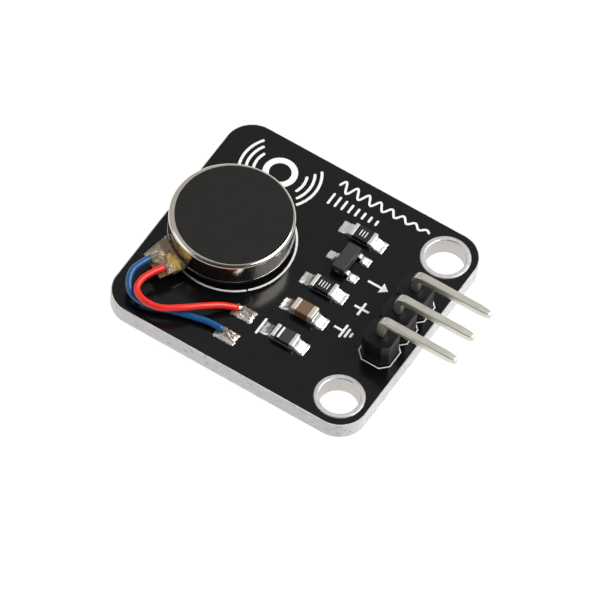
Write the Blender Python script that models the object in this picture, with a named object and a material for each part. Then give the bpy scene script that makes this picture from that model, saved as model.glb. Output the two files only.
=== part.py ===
"""A coin vibration motor on a small driver board, built as separate named parts.

Run it with: blender --background --python part.py

Meshes are drawn in millimetres and scaled to metres when their object is made. The origin is the
centre of the board's underside. +X runs from the motor to the header pins, +Y along the row of
pins, and +Z up from the board. Heights in the motor, header, wire and chip sections are measured
from the top face of the board.
"""
import math

import bmesh
import bpy
from mathutils import Vector

MM = 0.001

# Board
BOARD_LENGTH = 23.0
BOARD_WIDTH = 21.0
BOARD_THICKNESS = 1.6
BOARD_CORNER = 2.4
SCREW_HOLE_X = 8.93
SCREW_HOLE_Y = 7.85
SCREW_HOLE_RADIUS = 1.6
PLATING = 0.05
PLATED_RIM_RADIUS = 2.0
PIN_HOLE_RADIUS = 0.5
PIN_SOLDER_RADIUS = 0.92
PIN_SOLDER_NECK = 0.53
PIN_SOLDER_DROP = 0.95
MASK_DEPTH = 0.03
MASK_MARGIN = 0.06

# Gap left between two parts that touch on the real object
GAP = 0.02

# Header
PIN_PITCH = 2.54
PIN_COUNT = 3
HEADER_X = 9.29
HOUSING_HEIGHT = 2.54
HOUSING_CHAMFER = 0.55
PIN_SIDE = 0.64
PIN_TAIL = 1.4
PIN_BEND_RADIUS = 0.5
PIN_LEVEL = 4.27
PIN_TIP_X = 16.0
PIN_TIP_SIDE = 0.36
PIN_TIP_TAPER = 0.9

# Motor, from the board up
MOTOR_PLACE = (-6.0, -0.07)
MOTOR_RADIUS = 5.0
MOTOR_TOP = 3.2
CASE_WALL = 0.2
CASE_RIM_RADIUS = 0.45
CASE_FOOT = 1.12
CRIMP_ANGLE = math.radians(-40)
FILM_RADIUS = 4.53
FILM_THICKNESS = 0.04
FILM_SHIFT = (0.11, 0.05)
FOAM_RADIUS = 4.6
BASE_RADIUS = 4.85
BASE_BOTTOM = 0.9
BASE_TOP = 1.1
FLEX_THICKNESS = 0.12
MAGNET_INNER = 2.0
MAGNET_OUTER = 4.4
MAGNET_THICKNESS = 0.4
SHAFT_RADIUS = 0.4
BOSS_RADIUS = 0.7
BOSS_TOP = 1.7

# Tail that carries the wires: its direction, width and reach from the motor's axis
TAIL_ANGLE = math.radians(-116)
TAIL_WIDTH = 2.5
TAIL_REACH = 7.2
TONGUE_REACH = 6.3
TAIL_JOINT_REACH = 6.1
RED_OFFSET = -0.65
BLUE_OFFSET = 0.65

# Rotor
ROTOR_BOTTOM = 1.84
ROTOR_BOARD_THICKNESS = 0.12
ROTOR_RADIUS = 4.5
ROTOR_FRAME_TOP = 2.76
ROTOR_HALF_ANGLE = math.radians(98)
ROTOR_REST_ANGLE = math.radians(60)
COIL_REACH = 3.05
COIL_ANGLE = math.radians(60)
COIL_LENGTH = 2.5
COIL_WIDTH = 2.1
COIL_WINDING = 0.65
WEIGHT_INNER = 1.7
WEIGHT_HALF_ANGLE = math.radians(27)
RUNNING_GAP = 0.04
WASHER_THICKNESS = 0.08

# Wires
WIRE_RADIUS = 0.26
BORE_RADIUS = 0.15
CORE_RADIUS = 0.12
WIRE_SIDES = 8
RED_PAD = (-1.35, -5.5)
BLUE_PAD = (-1.38, -8.0)

# Chips: one column, centre of each along Y
CHIP_X = 2.6
CHIP_LENGTH = 2.0
CHIP_WIDTH = 1.25
CAP_WALL = 0.05
CHIP_STANDOFF = 0.06
CHIPS = {
    "resistor_1": {"y": 5.8, "height": 0.5, "lip": 0.33, "look": "resistor_black"},
    "resistor_2": {"y": 0.0, "height": 0.5, "lip": 0.33, "look": "resistor_black"},
    "capacitor": {"y": -2.88, "height": 0.85, "lip": 0.52, "look": "capacitor_brown"},
    "diode": {"y": -5.73, "height": 0.6, "lip": 0.33, "look": "moulding_black"},
}
TRANSISTOR_PLACE = (2.74, 3.0)
TRANSISTOR_SIZE = (1.3, 2.8, 0.86)
TRANSISTOR_STANDOFF = 0.1
TRANSISTOR_DRAFT = 0.08
LEAD_WIDTH = 0.42
LEAD_THICKNESS = 0.12
LEAD_PITCH = 1.9
LEAD_REACH = 1.25
LEAD_LEVEL = 0.5

LOOKS = {
    "board_black": ((0.02, 0.02, 0.021), 0.3, 0.0),
    "plating": ((0.72, 0.72, 0.70), 0.25, 1.0),
    "moulding_black": ((0.02, 0.02, 0.02), 0.5, 0.0),
    "pin_metal": ((0.58, 0.56, 0.51), 0.3, 1.0),
    "solder": ((0.65, 0.65, 0.64), 0.25, 1.0),
    "foam": ((0.015, 0.015, 0.015), 0.95, 0.0),
    "steel": ((0.62, 0.60, 0.57), 0.15, 1.0),
    "film_black": ((0.03, 0.03, 0.03), 0.2, 0.0),
    "flex_amber": ((0.55, 0.30, 0.08), 0.4, 0.0),
    "copper": ((0.72, 0.36, 0.20), 0.35, 1.0),
    "magnet": ((0.10, 0.10, 0.11), 0.5, 1.0),
    "tungsten": ((0.30, 0.30, 0.32), 0.4, 1.0),
    "brass": ((0.65, 0.48, 0.20), 0.3, 1.0),
    "plastic_natural": ((0.70, 0.66, 0.56), 0.5, 0.0),
    "rotor_green": ((0.03, 0.20, 0.08), 0.4, 0.0),
    "wire_red": ((0.80, 0.03, 0.03), 0.4, 0.0),
    "wire_blue": ((0.03, 0.16, 0.55), 0.4, 0.0),
    "resistor_black": ((0.02, 0.02, 0.02), 0.35, 0.0),
    "capacitor_brown": ((0.30, 0.19, 0.12), 0.5, 0.0),
    "tin": ((0.75, 0.74, 0.70), 0.3, 1.0),
}


# Scene tools


def clear_scene():
    for item in list(bpy.data.objects):
        bpy.data.objects.remove(item, do_unlink=True)


def material(look):
    """A Principled material with the colour, roughness and metallic value of a look."""
    colour, roughness, metallic = LOOKS[look]
    made = bpy.data.materials.new(look)
    made.use_nodes = True
    shader = made.node_tree.nodes["Principled BSDF"]
    shader.inputs["Base Color"].default_value = (*colour, 1.0)
    shader.inputs["Roughness"].default_value = roughness
    shader.inputs["Metallic"].default_value = metallic
    return made


def empty(name, x, y, z, parent=None):
    """A reference point, in millimetres from its parent."""
    point = bpy.data.objects.new(name, None)
    point.empty_display_size = 2 * MM
    point.location = (x * MM, y * MM, z * MM)
    point.parent = parent
    bpy.context.collection.objects.link(point)
    return point


def add_part(name, bm, look, parent=None, at=(0, 0, 0), turn=0.0):
    """Make an object of a mesh drawn in millimetres, with its own material."""
    bmesh.ops.remove_doubles(bm, verts=bm.verts[:], dist=0.0005)
    bmesh.ops.recalc_face_normals(bm, faces=bm.faces[:])
    bmesh.ops.scale(bm, vec=(MM, MM, MM), verts=bm.verts[:])
    mesh = bpy.data.meshes.new(name)
    bm.to_mesh(mesh)
    bm.free()
    mesh.shade_smooth()
    mesh.set_sharp_from_angle(angle=math.radians(35))
    mesh.materials.append(material(look))
    part = bpy.data.objects.new(name, mesh)
    part.parent = parent
    part.location = [value * MM for value in at]
    part.rotation_euler = (0, 0, turn)
    bpy.context.collection.objects.link(part)
    return part


def cutter(name, bm, parent=None, at=(0, 0, 0), turn=0.0):
    """A part that only cuts another: hidden from renders."""
    tool = add_part(name, bm, "steel", parent, at, turn)
    tool.hide_render = True
    tool.display_type = "WIRE"
    return tool


def combine(part, tool, operation):
    """Cut a part with a tool, or join the tool to it."""
    change = part.modifiers.new(tool.name, "BOOLEAN")
    change.operation = operation
    change.solver = "EXACT"
    change.object = tool


# Outlines, in the XY plane


def arc(x, y, radius, start, end, steps):
    """Points on an arc from start to end, both included."""
    angles = [start + (end - start) * step / steps for step in range(steps + 1)]
    return [(x + radius * math.cos(a), y + radius * math.sin(a)) for a in angles]


def circle(x, y, radius, sides):
    return arc(x, y, radius, 0, math.tau, sides)[:-1]


def rounded_rectangle(length, width, radius, steps):
    """A rectangle about the origin with round corners."""
    x = length / 2 - radius
    y = width / 2 - radius
    corners = [(x, y, 0), (-x, y, 90), (-x, -y, 180), (x, -y, 270)]
    outline = []
    for cx, cy, degrees in corners:
        start = math.radians(degrees)
        outline += arc(cx, cy, radius, start, start + math.pi / 2, steps)
    return outline


def turned(points, angle):
    """Outline points turned about the origin."""
    c, s = math.cos(angle), math.sin(angle)
    return [(x * c - y * s, x * s + y * c) for x, y in points]


def sector(inner, outer, half_angle, steps):
    """Part of a ring, centred on the X axis."""
    far = arc(0, 0, outer, -half_angle, half_angle, steps)
    near = arc(0, 0, inner, half_angle, -half_angle, steps)
    return far + near


# Solids


def slab(outline, bottom, top, holes=()):
    """A flat plate: an outline less its holes, from one height to another."""
    bm = bmesh.new()
    for loop in [outline, *holes]:
        corners = [bm.verts.new((x, y, bottom)) for x, y in loop]
        for start, end in zip(corners, corners[1:] + corners[:1]):
            bm.edges.new((start, end))
    bmesh.ops.triangle_fill(bm, use_beauty=True, edges=bm.edges[:])
    lifted = bmesh.ops.extrude_face_region(bm, geom=bm.faces[:])["geom"]
    raised = [item for item in lifted if isinstance(item, bmesh.types.BMVert)]
    bmesh.ops.translate(bm, vec=(0, 0, top - bottom), verts=raised)
    return bm


def on_edge(bm, shift=0.0):
    """Stand a slab up: its outline in the XZ plane, its thickness along Y, moved by shift."""
    for corner in bm.verts:
        x, y, z = corner.co
        corner.co = (x, z + shift, y)
    return bm


def lathe(profile, sides):
    """A closed profile of (radius, height) points, turned about the Z axis."""
    bm = bmesh.new()
    corners = [bm.verts.new((radius, 0, height)) for radius, height in profile]
    for start, end in zip(corners, corners[1:] + corners[:1]):
        bm.edges.new((start, end))
    everything = bm.verts[:] + bm.edges[:]
    bmesh.ops.spin(bm, geom=everything, axis=(0, 0, 1), cent=(0, 0, 0), angle=math.tau, steps=sides)
    bmesh.ops.remove_doubles(bm, verts=bm.verts[:], dist=0.0005)
    flat = [edge for edge in bm.edges if not edge.link_faces]
    bmesh.ops.delete(bm, geom=flat, context="EDGES")
    return bm


def ring(inner, outer, bottom, top, sides):
    return lathe([(inner, bottom), (outer, bottom), (outer, top), (inner, top)], sides)


def block(low, high):
    """A box between two opposite corners."""
    bm = bmesh.new()
    bmesh.ops.create_cube(bm, size=1)
    for corner in bm.verts:
        corner.co = [a + (b - a) * (c + 0.5) for a, b, c in zip(low, high, corner.co)]
    return bm


def smooth_path(points, steps):
    """A curve through control points (Catmull-Rom), with steps spans between two of them."""
    knots = [Vector(point) for point in points]
    knots = [2 * knots[0] - knots[1], *knots, 2 * knots[-1] - knots[-2]]
    path = []
    for before, start, end, after in zip(knots, knots[1:], knots[2:], knots[3:]):
        for step in range(steps):
            t = step / steps
            curve = 2 * start + (end - before) * t
            curve += (2 * before - 5 * start + 4 * end - after) * t * t
            curve += (3 * start - before - 3 * end + after) * t * t * t
            path.append(curve / 2)
    path.append(knots[-2])
    return path


def cross_sections(bm, path, section, side=None, scales=None):
    """Rings of vertices: a section of (across, up) points at each point of a path."""
    rings = []
    for index, point in enumerate(path):
        along = path[min(index + 1, len(path) - 1)] - path[max(index - 1, 0)]
        across = side or Vector((0, 0, 1)).cross(along).normalized()
        up = along.cross(across).normalized()
        scale = scales[index] if scales else 1.0
        rings.append([bm.verts.new(point + (across * a + up * b) * scale) for a, b in section])
    return rings


def skin(bm, rings, looped=False):
    """Faces between rings: closed round on themselves, or capped at both ends."""
    following = rings[1:] + rings[:1] if looped else rings[1:]
    for ring_a, ring_b in zip(rings, following):
        count = len(ring_a)
        for i in range(count):
            j = (i + 1) % count
            bm.faces.new((ring_a[i], ring_a[j], ring_b[j], ring_b[i]))
    if not looped:
        bm.faces.new(rings[0])
        bm.faces.new(rings[-1])


def rod(path, radius, sides=WIRE_SIDES):
    bm = bmesh.new()
    skin(bm, cross_sections(bm, path, circle(0, 0, radius, sides)))
    return bm


def tube(path, outer, inner, sides=WIRE_SIDES):
    bm = bmesh.new()
    outside = cross_sections(bm, path, circle(0, 0, outer, sides))
    inside = cross_sections(bm, path, circle(0, 0, inner, sides))
    skin(bm, outside + inside[::-1], looped=True)
    return bm


def dome(radius, height, bottom, stretch=1.0, sides=16, steps=4):
    """A low round mound on a flat foot, stretched along X."""
    profile = [(0, bottom)]
    for step in range(steps + 1):
        angle = math.pi / 2 * step / steps
        profile.append((radius * math.cos(angle), bottom + height * math.sin(angle)))
    bm = lathe(profile, sides)
    bmesh.ops.scale(bm, vec=(stretch, 1, 1), verts=bm.verts[:])
    return bm


# Board


def header_rows():
    """The place of each header pin along Y."""
    return [(index - (PIN_COUNT - 1) / 2) * PIN_PITCH for index in range(PIN_COUNT)]


def hole_drill(radius, opening, sides):
    """Cutter for a hole in the board, with a shallow opening in the solder mask at each face."""
    beyond = 1.0
    upper_mask = BOARD_THICKNESS - MASK_DEPTH
    profile = [
        (0, -beyond),
        (opening, -beyond),
        (opening, MASK_DEPTH),
        (radius, MASK_DEPTH),
        (radius, upper_mask),
        (opening, upper_mask),
        (opening, BOARD_THICKNESS + beyond),
        (0, BOARD_THICKNESS + beyond),
    ]
    return lathe(profile, sides)


def build_board():
    outline = rounded_rectangle(BOARD_LENGTH, BOARD_WIDTH, BOARD_CORNER, 7)
    board = add_part("circuit_board", slab(outline, 0, BOARD_THICKNESS), "board_black")
    drilled = SCREW_HOLE_RADIUS + PLATING + GAP
    for number, side in enumerate((-1, 1), start=1):
        drill = hole_drill(drilled, PLATED_RIM_RADIUS + MASK_MARGIN, 32)
        place = (SCREW_HOLE_X, side * SCREW_HOLE_Y, 0)
        combine(board, cutter(f"screw_drill_{number}", drill, at=place), "DIFFERENCE")
    for number, y in enumerate(header_rows(), start=1):
        drill = hole_drill(PIN_HOLE_RADIUS, PIN_SOLDER_RADIUS + MASK_MARGIN, 16)
        combine(board, cutter(f"pin_drill_{number}", drill, at=(HEADER_X, y, 0)), "DIFFERENCE")
    low = -GAP - PLATING
    high = BOARD_THICKNESS + GAP + PLATING
    barrel = SCREW_HOLE_RADIUS + PLATING
    rim = [
        (SCREW_HOLE_RADIUS, low),
        (PLATED_RIM_RADIUS, low),
        (PLATED_RIM_RADIUS, -GAP),
        (barrel, -GAP),
        (barrel, BOARD_THICKNESS + GAP),
        (PLATED_RIM_RADIUS, BOARD_THICKNESS + GAP),
        (PLATED_RIM_RADIUS, high),
        (SCREW_HOLE_RADIUS, high),
    ]
    for number, side in enumerate((-1, 1), start=1):
        name = f"hole_plating_{number}"
        add_part(name, lathe(rim, 32), "plating", at=(SCREW_HOLE_X, side * SCREW_HOLE_Y, 0))


# Header


def housing_outline():
    """Octagonal segments side by side, one for each pin, joined at their flats."""
    half = PIN_PITCH / 2
    flat = half - HOUSING_CHAMFER
    right = []
    for y in header_rows():
        right += [(flat, y - half), (half, y - flat), (half, y + flat), (flat, y + half)]
    joined = [point for point, after in zip(right, right[1:] + [None]) if point != after]
    left = [(-x, y) for x, y in reversed(joined)]
    return [(HEADER_X + x, y) for x, y in joined + left]


def pin_path():
    """Centre line of a pin: up through the board, round the bend, out to the tip."""
    bend_x = HEADER_X + PIN_BEND_RADIUS
    bend_z = BOARD_THICKNESS + PIN_LEVEL - PIN_BEND_RADIUS
    bend = arc(bend_x, bend_z, PIN_BEND_RADIUS, math.pi, math.pi / 2, 6)
    level = BOARD_THICKNESS + PIN_LEVEL
    tail = [(HEADER_X, -PIN_TAIL), (HEADER_X, -PIN_TAIL + PIN_SIDE / 2)]
    tip = [(PIN_TIP_X - PIN_TIP_TAPER, level), (PIN_TIP_X - PIN_TIP_SIDE / 3, level), (PIN_TIP_X, level)]
    return [Vector((x, 0, z)) for x, z in tail + bend + tip]


def build_header():
    holes = []
    clearance = PIN_SIDE / 2 + GAP
    square = [(-clearance, -clearance), (clearance, -clearance), (clearance, clearance), (-clearance, clearance)]
    for y in header_rows():
        holes.append([(HEADER_X + a, y + b) for a, b in square])
    foot = BOARD_THICKNESS + GAP
    top = BOARD_THICKNESS + HOUSING_HEIGHT
    add_part("header_housing", slab(housing_outline(), foot, top, holes), "moulding_black")
    path = pin_path()
    half = PIN_SIDE / 2
    section = [(-half, -half), (half, -half), (half, half), (-half, half)]
    scales = [1.0] * len(path)
    scales[0] = 0.6
    scales[-2] = PIN_TIP_SIDE / PIN_SIDE
    scales[-1] = scales[-2] * 0.7
    inside = PIN_HOLE_RADIUS - GAP
    cone = [(inside, -GAP)]
    for t in (0, 0.25, 0.6, 1):
        radius = PIN_SOLDER_NECK + (PIN_SOLDER_RADIUS - PIN_SOLDER_NECK) * (1 - t) ** 2
        cone.append((radius, -GAP - (PIN_SOLDER_DROP - GAP) * t))
    cone.append((inside, -PIN_SOLDER_DROP))
    for number, y in enumerate(header_rows(), start=1):
        bm = bmesh.new()
        skin(bm, cross_sections(bm, path, section, side=Vector((0, 1, 0)), scales=scales))
        add_part(f"header_pin_{number}", bm, "pin_metal", at=(0, y, 0))
        add_part(f"header_solder_{number}", lathe(cone, 16), "solder", at=(HEADER_X, y, 0))


# Motor: what stays still


def tail_point(reach, offset):
    """A point on the tail, from the motor's axis: reach along it, offset to its left."""
    c, s = math.cos(TAIL_ANGLE), math.sin(TAIL_ANGLE)
    return (reach * c + offset * s, reach * s - offset * c)


def keyhole(radius, width, reach, sides):
    """A round plate with a straight tongue of a given width, towards the tail's end."""
    half = width / 2
    open_angle = math.asin(half / radius)
    plate = arc(0, 0, radius, open_angle, math.tau - open_angle, sides)
    corner = 0.25
    lower = arc(reach - corner, -half + corner, corner, -math.pi / 2, 0, 3)
    upper = arc(reach - corner, half - corner, corner, 0, math.pi / 2, 3)
    return turned(plate + lower + upper, TAIL_ANGLE)


def case_profile():
    """The steel cup, from its foot up the outside, over the top and down the inside."""
    inner = MOTOR_RADIUS - CASE_WALL
    ceiling = MOTOR_TOP - CASE_WALL
    inner_corner = CASE_RIM_RADIUS - CASE_WALL
    foot_round = 0.06
    outside = arc(MOTOR_RADIUS - foot_round, CASE_FOOT + foot_round, foot_round, -math.pi / 2, 0, 2)
    rim_x = MOTOR_RADIUS - CASE_RIM_RADIUS
    rim_z = MOTOR_TOP - CASE_RIM_RADIUS
    outside += arc(rim_x, rim_z, CASE_RIM_RADIUS, 0, math.pi / 2, 6)
    inside = arc(rim_x, rim_z, inner_corner, math.pi / 2, 0, 2)
    return outside + [(0, MOTOR_TOP), (0, ceiling)] + inside + [(inner, CASE_FOOT)]


def build_motor_case(motor):
    case = add_part("motor_case", lathe(case_profile(), 64), "steel", motor)
    inside = MOTOR_RADIUS - 2 * CASE_WALL
    outside = MOTOR_RADIUS + CASE_WALL
    notches = {
        "tail_notch": (TAIL_ANGLE, TAIL_WIDTH / 2 + 0.1, 0.24),
        "crimp_notch": (CRIMP_ANGLE, 0.3, 0.2),
    }
    for name, (angle, half, depth) in notches.items():
        low = (inside, -half, CASE_FOOT - 0.3)
        high = (outside, half, CASE_FOOT + depth)
        combine(case, cutter(name, block(low, high), motor, turn=angle), "DIFFERENCE")


def build_brush(number, motor):
    """A leaf spring that stands on the flexible circuit and slopes up to the commutator."""
    foot = BASE_TOP + 2 * GAP + FLEX_THICKNESS
    rise = ROTOR_BOTTOM - 0.05 - foot
    leaf = 0.08
    outline = [
        (-0.5, foot),
        (-0.5, foot + leaf),
        (-0.1, foot + leaf),
        (0.55, foot + rise),
        (0.8, foot + rise),
        (0.8, foot + rise - leaf),
        (0.6, foot + rise - leaf),
        (-0.04, foot),
    ]
    bm = on_edge(slab(outline, -0.2, 0.2), shift=1.2)
    add_part(f"motor_brush_{number}", bm, "brass", motor, turn=math.pi * number)


def build_motor(motor):
    foam_top = BASE_BOTTOM - GAP
    foam = [(0, GAP), (FOAM_RADIUS, GAP), (FOAM_RADIUS, foam_top), (0, foam_top)]
    add_part("motor_foam_pad", lathe(foam, 48), "foam", motor)
    plate = keyhole(BASE_RADIUS, TAIL_WIDTH, TONGUE_REACH, 56)
    base = add_part("motor_base_plate", slab(plate, BASE_BOTTOM, BASE_TOP), "steel", motor)
    boss = ring(SHAFT_RADIUS + GAP, BOSS_RADIUS, BASE_TOP - 0.05, BOSS_TOP, 16)
    combine(base, cutter("shaft_boss", boss, motor), "UNION")
    flex_bottom = BASE_TOP + GAP
    flex_top = flex_bottom + FLEX_THICKNESS
    disc = MOTOR_RADIUS - CASE_WALL - 0.1
    flex = keyhole(disc, TAIL_WIDTH - 0.1, TAIL_REACH, 48)
    opening = circle(0, 0, BOSS_RADIUS + 0.1, 16)
    add_part("motor_flex_circuit", slab(flex, flex_bottom, flex_top, [opening]), "flex_amber", motor)
    magnet_bottom = flex_top + GAP
    magnet_top = magnet_bottom + MAGNET_THICKNESS
    magnet = ring(MAGNET_INNER, MAGNET_OUTER, magnet_bottom, magnet_top, 40)
    add_part("motor_ring_magnet", magnet, "magnet", motor)
    for number in (1, 2):
        build_brush(number, motor)
    shaft_top = MOTOR_TOP - CASE_WALL - GAP
    shaft = [(0, flex_bottom), (SHAFT_RADIUS, flex_bottom), (SHAFT_RADIUS, shaft_top), (0, shaft_top)]
    add_part("motor_shaft", lathe(shaft, 16), "steel", motor)
    film_top = MOTOR_TOP + GAP + FILM_THICKNESS
    film = [(0, MOTOR_TOP + GAP), (FILM_RADIUS, MOTOR_TOP + GAP), (FILM_RADIUS, film_top), (0, film_top)]
    add_part("motor_top_film", lathe(film, 48), "film_black", motor, at=(*FILM_SHIFT, 0))
    washers = {
        "thrust_washer_lower": BOSS_TOP + GAP,
        "thrust_washer_upper": ROTOR_FRAME_TOP + 2 * RUNNING_GAP,
    }
    for name, bottom in washers.items():
        bm = ring(SHAFT_RADIUS + GAP, 0.78, bottom, bottom + WASHER_THICKNESS, 16)
        add_part(name, bm, "plastic_natural", motor)
    build_motor_case(motor)


# Motor: what spins


def coil_outline(grow):
    """A rounded coil window at its place on the rotor, grown by a margin."""
    length = COIL_LENGTH + 2 * grow
    width = COIL_WIDTH + 2 * grow
    loop = rounded_rectangle(length, width, width * 0.38, 4)
    return [(x + COIL_REACH, y) for x, y in loop]


def build_rotor(rotor):
    bore = SHAFT_RADIUS + RUNNING_GAP
    sleeve = 0.8
    board_top = ROTOR_BOTTOM + ROTOR_BOARD_THICKNESS
    hub = 1.5
    open_angle = math.pi - ROTOR_HALF_ANGLE
    moon = arc(0, 0, ROTOR_RADIUS, -ROTOR_HALF_ANGLE, ROTOR_HALF_ANGLE, 30)
    moon += arc(0, 0, hub, ROTOR_HALF_ANGLE, ROTOR_HALF_ANGLE + 2 * open_angle, 8)
    opening = circle(0, 0, sleeve + GAP, 16)
    board = slab(moon, ROTOR_BOTTOM, board_top, [opening])
    add_part("rotor_board", board, "rotor_green", rotor)
    bushing = ring(bore, sleeve, ROTOR_BOTTOM, ROTOR_FRAME_TOP + RUNNING_GAP, 16)
    add_part("rotor_bushing", bushing, "brass", rotor)
    deck = board_top + GAP
    coil_top = ROTOR_FRAME_TOP - 0.1
    pockets = [opening]
    for number, side in enumerate((-1, 1), start=1):
        window = [turned(coil_outline(grow), side * COIL_ANGLE) for grow in (0, -COIL_WINDING)]
        coil = slab(window[0], deck, coil_top, [window[1]])
        add_part(f"rotor_coil_{number}", coil, "copper", rotor)
        pockets.append(turned(coil_outline(GAP), side * COIL_ANGLE))
    weight_outer = ROTOR_RADIUS - 0.2
    weight = sector(WEIGHT_INNER, weight_outer, WEIGHT_HALF_ANGLE, 12)
    add_part("rotor_weight", slab(weight, deck, ROTOR_FRAME_TOP), "tungsten", rotor)
    pockets.append(sector(WEIGHT_INNER - GAP, weight_outer + GAP, WEIGHT_HALF_ANGLE + 0.012, 12))
    frame = slab(moon, deck, ROTOR_FRAME_TOP, pockets)
    add_part("rotor_frame", frame, "plastic_natural", rotor)


# Wires


def red_route():
    """The red wire from the tail: a loop out to the board's corner and back to its pad."""
    return [
        (-8.72, -7.12, 1.6),
        (-9.1, -8.2, 1.55),
        (-8.93, -9.15, 1.45),
        (-7.95, -9.63, 1.38),
        (-6.6, -9.47, 1.3),
        (-5.3, -8.53, 1.2),
        (-4.0, -7.27, 0.98),
        (-2.95, -6.25, 0.68),
        (-2.15, -5.53, 0.4),
    ]


def blue_route():
    """The blue wire from the tail: outside the red loop, then under it to its pad."""
    return [
        (-9.97, -6.95, 1.55),
        (-10.18, -7.9, 1.45),
        (-9.8, -8.93, 1.18),
        (-9.0, -9.45, 0.88),
        (-7.6, -9.35, 0.62),
        (-5.9, -8.72, 0.5),
        (-4.2, -8.22, 0.42),
        (-3.0, -7.95, 0.4),
        (-1.95, -7.8, 0.38),
    ]


def build_wire(colour, offset, route, pad, look):
    """One wire: bare end in the tail's solder, insulation, bare end in the board's solder."""
    lift = Vector((0, 0, BOARD_THICKNESS))
    flex_top = BASE_TOP + GAP + FLEX_THICKNESS
    on_tail = flex_top + GAP + WIRE_RADIUS + 0.02
    on_tail_core = flex_top + 0.22

    def on_motor(reach, height):
        x, y = tail_point(reach, offset)
        return Vector((x + MOTOR_PLACE[0], y + MOTOR_PLACE[1], height)) + lift

    start = [on_motor(TAIL_JOINT_REACH, on_tail_core), on_motor(TAIL_JOINT_REACH + 0.35, on_tail_core)]
    jacket_start = on_motor(TAIL_JOINT_REACH + 0.6, on_tail)
    pad_x, pad_y = pad
    end = [Vector((pad_x - 0.4, pad_y, 0.25)) + lift, Vector((pad_x + 0.4, pad_y, 0.22)) + lift]
    jacket = smooth_path([jacket_start, *[Vector(point) + lift for point in route]], 3)
    core = [*start, *jacket, *end]
    add_part(f"{colour}_wire_insulation", tube(jacket, WIRE_RADIUS, BORE_RADIUS), look)
    add_part(f"{colour}_wire_core", rod(core, CORE_RADIUS), "tin")
    board_joint = dome(0.52, 0.42, GAP, stretch=1.5)
    joint = add_part(f"{colour}_pad_solder", board_joint, "solder", at=(pad_x + 0.1, pad_y, BOARD_THICKNESS))
    reach = (end[1] - end[0]).normalized()
    channel = rod([end[0] - reach * 0.8, end[1] + reach * 0.04], CORE_RADIUS + 0.03)
    combine(joint, cutter(f"{colour}_pad_channel", channel), "DIFFERENCE")
    tail_x, tail_y = tail_point(TAIL_JOINT_REACH - 0.05, offset)
    place = (tail_x + MOTOR_PLACE[0], tail_y + MOTOR_PLACE[1], BOARD_THICKNESS + flex_top + GAP)
    joint = add_part(f"{colour}_tail_solder", dome(0.42, 0.4, 0), "solder", at=place, turn=TAIL_ANGLE)
    reach = (start[1] - start[0]).normalized()
    channel = rod([start[0] - reach * 0.04, start[0] + reach * 0.8], CORE_RADIUS + 0.03)
    combine(joint, cutter(f"{colour}_tail_channel", channel), "DIFFERENCE")


def build_wires(motor):
    flex_top = BASE_TOP + GAP + FLEX_THICKNESS
    tape_outline = rounded_rectangle(0.6, TAIL_WIDTH + 0.4, 0.15, 2)
    tape = slab(tape_outline, flex_top + GAP, flex_top + GAP + 0.06)
    tape_x, tape_y = tail_point(MOTOR_RADIUS + 0.4, 0)
    add_part("tail_tape", tape, "flex_amber", motor, at=(tape_x, tape_y, 0), turn=TAIL_ANGLE)
    build_wire("red", RED_OFFSET, red_route(), RED_PAD, "wire_red")
    build_wire("blue", BLUE_OFFSET, blue_route(), BLUE_PAD, "wire_blue")


# Chips


def folded_cap(lip, low, high):
    """A strip folded over a chip's end: top, end and bottom."""
    half = CHIP_LENGTH / 2
    inside = half - CAP_WALL
    fold = [(lip, low), (half, low), (half, high), (lip, high)]
    fold += [(lip, high - CAP_WALL), (inside, high - CAP_WALL)]
    fold += [(inside, low + CAP_WALL), (lip, low + CAP_WALL)]
    return on_edge(slab(fold, -CHIP_WIDTH / 2, CHIP_WIDTH / 2))


def dipped_cap(lip, low, high):
    """A cap over a chip's end that is closed on five sides."""
    half = CHIP_LENGTH / 2
    bm = block((lip, -CHIP_WIDTH / 2, low), (half, CHIP_WIDTH / 2, high))
    mouth = min(bm.faces, key=lambda face: face.calc_center_median().x)
    bmesh.ops.inset_region(bm, faces=[mouth], thickness=CAP_WALL)
    floor = bmesh.ops.extrude_discrete_faces(bm, faces=[mouth])["faces"][0]
    bmesh.ops.translate(bm, vec=(half - CAP_WALL - lip, 0, 0), verts=floor.verts)
    return bm


def build_chip(name, y, height, lip, look):
    """A two-ended chip: a body whose ends sit inside two metal caps."""
    low = CHIP_STANDOFF
    high = low + height
    place = (CHIP_X, y, BOARD_THICKNESS)
    clearance = CAP_WALL + GAP
    end = CHIP_LENGTH / 2 - clearance
    lip_x = CHIP_LENGTH / 2 - lip
    dipped = name == "capacitor"
    wide = CHIP_WIDTH / 2 - (clearance if dipped else 0)
    shoulder = high - clearance
    crown = shoulder if dipped else high - 0.01
    core = [(-end, low + clearance), (end, low + clearance), (end, shoulder)]
    if not dipped:
        core += [(lip_x - GAP, shoulder), (lip_x - GAP, crown), (GAP - lip_x, crown), (GAP - lip_x, shoulder)]
    core.append((-end, shoulder))
    add_part(f"{name}_body", on_edge(slab(core, -wide, wide)), look, at=place)
    make_cap = dipped_cap if dipped else folded_cap
    for number, turn in enumerate((math.pi, 0), start=1):
        add_part(f"{name}_cap_{number}", make_cap(lip_x, low, high), "tin", at=place, turn=turn)


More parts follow.
